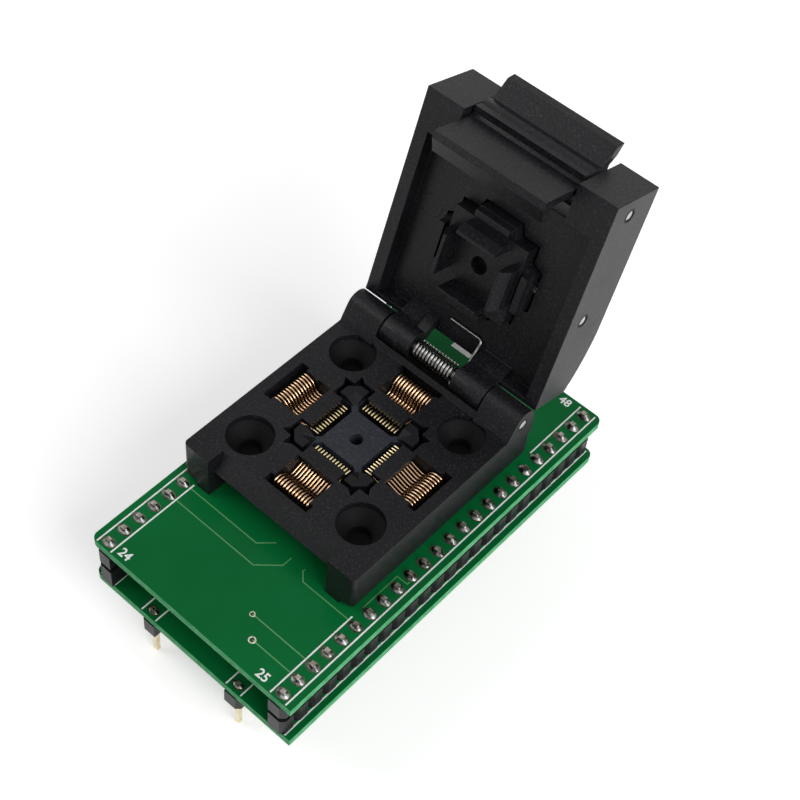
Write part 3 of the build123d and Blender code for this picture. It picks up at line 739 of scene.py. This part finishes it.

# Ends of the steel pins: crowned, each ringed by a flat dark ring of painted shade that stands for its
# sink
sinkShape = dict(ring=[(0.8, 0.0), (1.04, 0.0), (1.04, 0.02), (0.8, 0.02)], lidFace=14.85, sides=32,
                 lidPins=[(31.04, 5.8), (15.184, 5.0)], earFace=14.76, pinEnd=14.65,
                 crown=[(0.74, 0.0), (0.72, 0.05), (0.62, 0.11), (0.4, 0.16), (0.15, 0.18)])


def makePinEnds():
    # on each side two ends in the lid and one in the ear, with a flat ring of painted shade round each
    s = sinkShape
    sides = s["sides"]
    ring, crown = np.array(s["ring"]) * mm, np.array(s["crown"]) * mm
    for side, sign in (("left", -1), ("right", 1)):
        axes = [upward, -sign * backward, across * sign]
        spots = np.array([hingeAt + upLid * a * mm + outLid * n * mm for a, n in s["lidPins"]])
        lidRim, earRim, end = (across * sign * s[k] * mm for k in ("lidFace", "earFace", "pinEnd"))
        sinkShade = turnedSet("lid_pin_sink_shade_" + side, ring, spots + lidRim, sides, axes, ring=True)
        finishPiece(sinkShade, holeShade, "lid")
        ends = turnedSet("lid_pin_ends_" + side, crown, spots + end, sides, axes)
        finishPiece(ends, steel, "lid")
        hingeEnd = turnedSet("hinge_pin_end_" + side, crown, [hingeAt + end], sides, axes)
        finishPiece(hingeEnd, steel)
        hingeSinkShade = turnedSet("hinge_pin_sink_shade_" + side, ring, [hingeAt + earRim], sides, axes, ring=True)
        finishPiece(hingeSinkShade, holeShade)


makePinEnds()
print("hinge forms made")

# Solder joints and pads: oval cones that climb the soldered pins
pinField = dict(pitch=2.54, count=24, linkGap=30.48, dipGap=15.24)
solderShape = dict(
    sides=14, across=1.0, along=0.66, vary=0.08, varySeed=50, shake=0.03,
    profile=[(0.98, 0.0), (0.94, 0.05), (0.82, 0.11), (0.68, 0.2), (0.56, 0.33), (0.47, 0.45),
             (0.36, 0.52), (0.15, 0.56)])
padShape = dict(sides=24, across=1.0, along=0.7, radius=1.08, thick=0.03)


def pinCentres(gap, level, shake=0.0, seed=1):
    # two rows of even pitch, either side of the middle, each point moved a little at random
    y = (np.arange(pinField["count"]) - (pinField["count"] - 1) / 2) * pinField["pitch"]
    x = np.repeat([-gap / 2, gap / 2], pinField["count"])
    spots = np.stack([x, np.tile(y, 2), np.full(2 * pinField["count"], level / mm)], -1) * mm
    moved = np.random.default_rng(seed).normal(0, shake * mm, spots.shape)
    moved[:, 2] = 0
    return spots + moved


def facing(downward):
    # axes of an upright piece, or of one that hangs from a face
    return np.diag([1.0, -1.0, -1.0]) if downward else np.eye(3)


def makeSolder(name, gap, level, downward, size, seed):
    # every cone has its own random width and height
    s = solderShape
    spots = pinCentres(gap, level, s["shake"], seed)
    vary = 1 + np.random.default_rng(seed + s["varySeed"]).normal(0, s["vary"], spots.shape)
    stretch = vary * np.array([s["across"], s["along"], 1.0]) * size
    piece = turnedSet(name, np.array(s["profile"]) * mm, spots, s["sides"], facing(downward), stretch)
    finishPiece(piece, solder)


def makePads(name, gap, level, downward, size):
    # low oval discs under the solder
    s = padShape
    profile = np.array([(s["radius"], 0), (s["radius"], s["thick"])]) * mm
    spots = pinCentres(gap, level)
    stretch = np.broadcast_to(np.array([s["across"] * size, s["along"] * size, 1.0]), spots.shape)
    piece = turnedSet(name, profile, spots, s["sides"], facing(downward), stretch)
    finishPiece(piece, padTin)


for row, gap, level, downward, size, seed in (
        ("upper", pinField["linkGap"], boardTop, False, 1.0, 2),
        ("under", pinField["linkGap"], lowerUnder, True, 1.0, 3),
        ("inner", pinField["dipGap"], lowerTop, False, 0.85, 4)):
    makeSolder(f"solder_{row}_rows", gap, level, downward, size, seed)
    makePads(f"pads_{row}_rows", gap, level, downward, size)
print("solder made")


# Print on the boards: screen-printed lines and pin numbers, lacquered tracks and vias

def ribbonPoints(points, width, thick, level):
    # a flat strip along a broken line, its corners mitred, lying on a level face
    line = np.array(points, float) * mm
    ahead = unit(np.diff(line, axis=0))
    normal = np.stack([-ahead[:, 1], ahead[:, 0]], -1)
    joined = normal[:-1] + normal[1:]
    mitre = np.vstack([normal[:1], joined * 2 / np.sum(joined**2, -1, keepdims=True), normal[-1:]])
    low = np.hstack([line, np.full((len(line), 1), level)])
    out = np.hstack([mitre * width / 2 * mm, np.zeros((len(line), 1))])
    top = thick * mm * upward
    return np.stack([low + out, low + out + top, low - out + top, low - out], 1)


def makeRibbons(name, lines, width, thick, level, finish):
    # sections of four points joined along each line, all lines in one piece
    verts, faces, first = [], [], 0
    for points in lines:
        rings = ribbonPoints(points, width, thick, level)
        rows = len(rings)
        ring = np.arange(4)
        verts.append(rings.reshape(-1, 3))
        faces += [gridFaces(rows, 4) + first, (ring[::-1] + first)[None],
                  (ring + (rows - 1) * 4 + first)[None]]
        first += rows * 4
    piece = buildMesh(name, np.vstack(verts), faces, smooth=False)
    finishPiece(piece, finish)


printShape = dict(
    inner=13.97, outer=16.5, front=-30.1, back=30.2, underFront=-15.75, underBack=19.2,
    width=0.21, thick=0.02, trackWidth=0.16, trackThick=0.012,
    bar=[(-5.8, 26.4), (-2.45, 26.4)], barWidth=1.15,
    numbers=[("24", -13.3, -29.65), ("25", 10.96, -29.75), ("48", 11.0, 28.8), ("1", -12.6, 28.8)],
    numberHigh=1.3, numberThick=0.02, bold=0.018, curveSteps=4, weld=0.002,
    vias=[(4.95, -24.02, 0.42), (7.47, -26.58, 0.55)], viaSides=20,
    viaRim=[(0.55, 0), (1.0, 0), (0.95, 0.05), (0.8, 0.08), (0.58, 0.04)],
    viaHoleShade=[(0.6, 0.0), (0.6, 0.02)],
    tracks=[
        [(-14.3, -16.42), (-2.01, -16.42), (-0.2, -14.6)],
        [(-14.3, -18.98), (0.03, -18.98), (2.72, -16.45), (2.72, -14.9)],
        [(5.1, -14.9), (5.1, -15.3), (6.2, -16.42), (14.3, -16.42)],
        [(4.95, -24.02), (14.3, -24.02)],
        [(7.47, -26.58), (14.3, -26.58)],
        [(14.07, -13.9), (14.07, -7.58), (15.75, -7.58), (15.75, -7.1)]])
p = printShape
halfPitch = pinField["pitch"] / 2
makeRibbons("print_lines", [
    [(-p["outer"], p["front"]), (-p["outer"], p["back"])],
    [(p["outer"], p["front"]), (p["outer"], p["back"])],
    [(-p["inner"], p["front"]), (-p["inner"], p["underFront"])],
    [(p["inner"], p["front"]), (p["inner"], p["underFront"])],
    [(-p["inner"], p["underBack"]), (-p["inner"], p["back"])],
    [(p["inner"], p["underBack"]), (p["inner"], p["back"])],
], p["width"], p["thick"], boardTop, whiteInk)
makeRibbons("print_bar", [p["bar"]], p["barWidth"], p["thick"], boardTop, whiteInk)
makeRibbons("print_lines_lower", [
    [(side * gap / 2 + shift, p["front"]), (side * gap / 2 + shift, p["back"])]
    for side in (-1, 1) for gap in (pinField["dipGap"], pinField["linkGap"])
    for shift in (-halfPitch, halfPitch)
], p["width"], p["thick"], lowerTop, whiteInk)
makeRibbons(
    "tracks", p["tracks"], p["trackWidth"], p["trackThick"], boardTop, trackLacquer)


def weldPiece(piece, reach):
    # joins the points that lie within the reach of each other and turns the faces outward
    drawn = bmesh.new()
    drawn.from_mesh(piece.data)
    bmesh.ops.remove_doubles(drawn, verts=drawn.verts, dist=reach)
    bmesh.ops.dissolve_degenerate(drawn, edges=drawn.edges, dist=reach)
    bmesh.ops.recalc_face_normals(drawn, faces=drawn.faces)
    drawn.to_mesh(piece.data)
    drawn.free()


def makeNumbers():
    # the plain pin numbers of the four corner pins, set from the front
    verts, faces, first = [], [], 0
    for text, x, y in p["numbers"]:
        curve = bpy.data.curves.new("number", "FONT")
        curve.body = text
        curve.extrude = p["numberThick"] / 2 * mm
        curve.offset = p["bold"]
        curve.resolution_u = p["curveSteps"]
        holder = bpy.data.objects.new("number", curve)
        bpy.context.scene.collection.objects.link(holder)
        bpy.context.view_layer.update()
        graph = bpy.context.evaluated_depsgraph_get()
        drawn = bpy.data.meshes.new_from_object(holder.evaluated_get(graph))
        co = np.array([v.co for v in drawn.vertices])
        flat = co[:, :2] - co[:, :2].min(0)
        flat *= p["numberHigh"] / flat[:, 1].max() * mm
        depth = np.where(co[:, 2] > 0, p["numberThick"], 0.0) * mm
        verts.append(np.column_stack([flat[:, 0] + x * mm, flat[:, 1] + y * mm, boardTop + depth]))
        faces += [np.array([[first + k for k in f.vertices]]) for f in drawn.polygons]
        first += len(co)
        bpy.data.objects.remove(holder)
    piece = buildMesh("pin_numbers", np.vstack(verts), faces, smooth=False)
    weldPiece(piece, p["weld"] * mm)
    finishPiece(piece, whiteInk)


def makeVias():
    # plated rings, each with a flat disc of painted shade for its hole
    for k, (x, y, radius) in enumerate(p["vias"]):
        at = [[x * mm, y * mm, boardTop]]
        rim, eye = (np.array(p[part]) * radius * mm for part in ("viaRim", "viaHoleShade"))
        finishPiece(turnedSet(f"via_ring_{k}", rim, at, p["viaSides"], ring=True), viaTin)
        finishPiece(turnedSet(f"via_hole_shade_{k}", eye, at, p["viaSides"]), holeShade)


makeNumbers()
makeVias()
print("print made")

# Marks of the moulds: rings of ejector pins on the lid's floor and on the chip seat
markShape = dict(lidFloor=3.9, lidMarks=[(-10.2, 17.6, 1.6), (8.3, 18.2, 1.6)], lidSides=32,
                 seatLevel=6.3, seatMark=(1.67, -1.68, 0.78), seatSides=28, rim=0.06, thick=0.03)


def ringProfile(radius):
    # a low rim with sloping sides on a circle of this radius
    m = markShape
    return np.array([(radius - m["rim"], 0), (radius + m["rim"], 0), (radius + m["rim"] / 2, m["thick"]),
                     (radius - m["rim"] / 2, m["thick"])]) * mm


def makeMarks():
    # two rims on the floor of the lid and one on the seat; the seat's rim is coloured as painted shade
    m = markShape
    axes = [across, upLid, -outLid]
    for k, (x, up, radius) in enumerate(m["lidMarks"]):
        at = hingeAt + across * x * mm + upLid * up * mm + outLid * m["lidFloor"] * mm
        mark = turnedSet(f"lid_mark_{k}", ringProfile(radius), [at], m["lidSides"], axes, ring=True)
        finishPiece(mark, housing, "lid")
    x, y, radius = m["seatMark"]
    at = [socketMid[0] + x * mm, socketMid[1] + y * mm, boardTop + m["seatLevel"] * mm]
    mark = turnedSet("seat_mark_shade", ringProfile(radius), [at], m["seatSides"], ring=True)
    finishPiece(mark, holeShade)


makeMarks()
print("marks made")

# Camera: solved from the pins' pitch, looking down along the boards from the front right
cameraPlace = dict(at=(77.210, -95.879, 185.770), azimuth=36.713, elevation=51.923, roll=6.531,
                   lens=73.19, sensor=36.0, near=0.01, far=10)


def makeCamera():
    # turned by its azimuth, tipped down by its elevation, then rolled about its own line of sight
    c = cameraPlace
    az, el, roll = (np.radians(c[k]) for k in ("azimuth", "elevation", "roll"))
    ahead = np.array([-np.sin(az) * np.cos(el), np.cos(az) * np.cos(el), -np.sin(el)])
    right = unit(np.cross(ahead, upward))
    top = np.cross(right, ahead)
    turnedRight = np.cos(roll) * right + np.sin(roll) * top
    turnedTop = -np.sin(roll) * right + np.cos(roll) * top
    data = bpy.data.cameras.new("photoCamera")
    data.lens = c["lens"]
    data.sensor_width = c["sensor"]
    data.clip_start = c["near"]
    data.clip_end = c["far"]
    camera = bpy.data.objects.new("photoCamera", data)
    axes = Matrix(np.stack([turnedRight, turnedTop, -ahead], -1).tolist()).to_4x4()
    camera.matrix_world = Matrix.Translation(Vector(c["at"]) * mm) @ axes
    bpy.context.scene.collection.objects.link(camera)
    bpy.context.scene.camera = camera


makeCamera()

# Studio: a white floor that keeps the shadow, a pale horizon and two large soft lamps
studio = dict(
    floorSize=3.0, floorLevel=-0.0062, floorTone=0.93, floorRough=0.9, floorLift=0.44,
    dimTone=0.42, dimFrom=(-0.07, 0.0), lightWay=(0.6, 0.8, 0.0),
    horizon=0.86, overhead=0.16, overheadFrom=(0.3, 0.72), front=0.28, frontFrom=(-0.5, 0.1),
    lampTarget=(0, 0, 0.02),
    lamps=[("rightLamp", (0.75, -0.1, 0.62), 0.6, 5.6),
           ("leftLamp", (-0.7, -0.35, 0.75), 0.6, 2.8)])


def backdropRays(tree, place):
    # 1 for what the camera sees, directly or mirrored or through glass
    rays = newNode(tree, "ShaderNodeLightPath", place).outputs
    aside, further = (place[0] + 150, place[1]), (place[0] + 300, place[1])
    mirrored = workOut(tree, "MAXIMUM", aside, rays["Is Glossy Ray"], rays["Is Transmission Ray"])
    return workOut(tree, "MAXIMUM", further, rays["Is Camera Ray"], mirrored)


def towardsLight(tree, vector, limits, low, high, place):
    # low on the dim side, high on the light side, by distance along the light's way
    along = workVector(tree, "DOT_PRODUCT", place, vector, studio["lightWay"], result="Value")
    return mapValue(tree, (place[0] + 200, place[1]), along, limits, low, high)


def makeFloor():
    # plain white for the camera and in mirrors; the light that it throws on the object is dimmer
    # to the front left
    size, level = studio["floorSize"], studio["floorLevel"]
    verts = np.array([(-size, -size, level), (size, -size, level),
                      (size, size, level), (-size, size, level)])
    floor = buildMesh("studio_floor", verts, [np.array([[0, 1, 2, 3]])], smooth=False)
    material = bpy.data.materials.new("studioFloor")
    material.use_nodes = True
    tree = material.node_tree
    shader = tree.nodes["Principled BSDF"]
    place = newNode(tree, "ShaderNodeTexCoord", (-1100, 0)).outputs["Object"]
    white = studio["floorTone"]
    tone = towardsLight(tree, place, studio["dimFrom"], studio["dimTone"], white, (-900, 0))
    plain = mixTones(tree, (-300, 0), backdropRays(tree, (-500, 200)), tone, white, "FLOAT")
    feed(tree, shader.inputs["Base Color"], plain)
    shader.inputs["Roughness"].default_value = studio["floorRough"]
    shader.inputs["Specular IOR Level"].default_value = 0.0
    glow = newNode(tree, "ShaderNodeEmission", (0, -400), {"Strength": studio["floorLift"]})
    dark = newNode(tree, "ShaderNodeEmission", (0, -550), {"Strength": 0.0})
    lift = newNode(tree, "ShaderNodeMixShader", (250, -400), {
        "Fac": backdropRays(tree, (0, -250)), 1: dark.outputs["Emission"], 2: glow.outputs["Emission"]})
    both = newNode(tree, "ShaderNodeAddShader", (450, 0), {
        0: shader.outputs["BSDF"], 1: lift.outputs["Shader"]})
    feed(tree, tree.nodes["Material Output"].inputs["Surface"], both.outputs["Shader"])
    floor.data.materials.append(material)


def makeLamps():
    # square lamps that face one target
    target = Vector(studio["lampTarget"])
    for name, place, size, power in studio["lamps"]:
        data = bpy.data.lights.new(name, "AREA")
        data.size = size
        data.energy = power
        lamp = bpy.data.objects.new(name, data)
        lamp.location = place
        lamp.rotation_euler = (target - Vector(place)).to_track_quat("-Z", "Y").to_euler()
        bpy.context.scene.collection.objects.link(lamp)


def makeWorld():
    # lights the object from a pale horizon behind, and is dimmer in front and overhead; the
    # camera and mirrors see one even tone
    world = bpy.data.worlds.new("studioWorld")
    world.use_nodes = True
    tree = world.node_tree
    background = tree.nodes["Background"]
    look = newNode(tree, "ShaderNodeTexCoord", (-1100, -100)).outputs["Generated"]
    split = newNode(tree, "ShaderNodeSeparateXYZ", (-600, -100), {"Vector": look})
    s = studio
    side = towardsLight(tree, look, s["frontFrom"], s["front"], s["horizon"], (-900, -350))
    fade = mapValue(tree, (-400, -100), split.outputs["Z"], s["overheadFrom"], side, s["overhead"])
    background.inputs["Color"].default_value = (1, 1, 1, 1)
    feed(tree, background.inputs["Strength"], fade)
    bright = newNode(tree, "ShaderNodeBackground", (0, -250), {"Strength": 1.0})
    seen = newNode(tree, "ShaderNodeMixShader", (250, 0), {
        "Fac": backdropRays(tree, (-400, 200)), 1: background.outputs["Background"],
        2: bright.outputs["Background"]})
    feed(tree, tree.nodes["World Output"].inputs["Surface"], seen.outputs["Shader"])
    bpy.context.scene.world = world


makeFloor()
makeLamps()
makeWorld()
bpy.context.scene.view_settings.view_transform = "Standard"
print("studio ready")
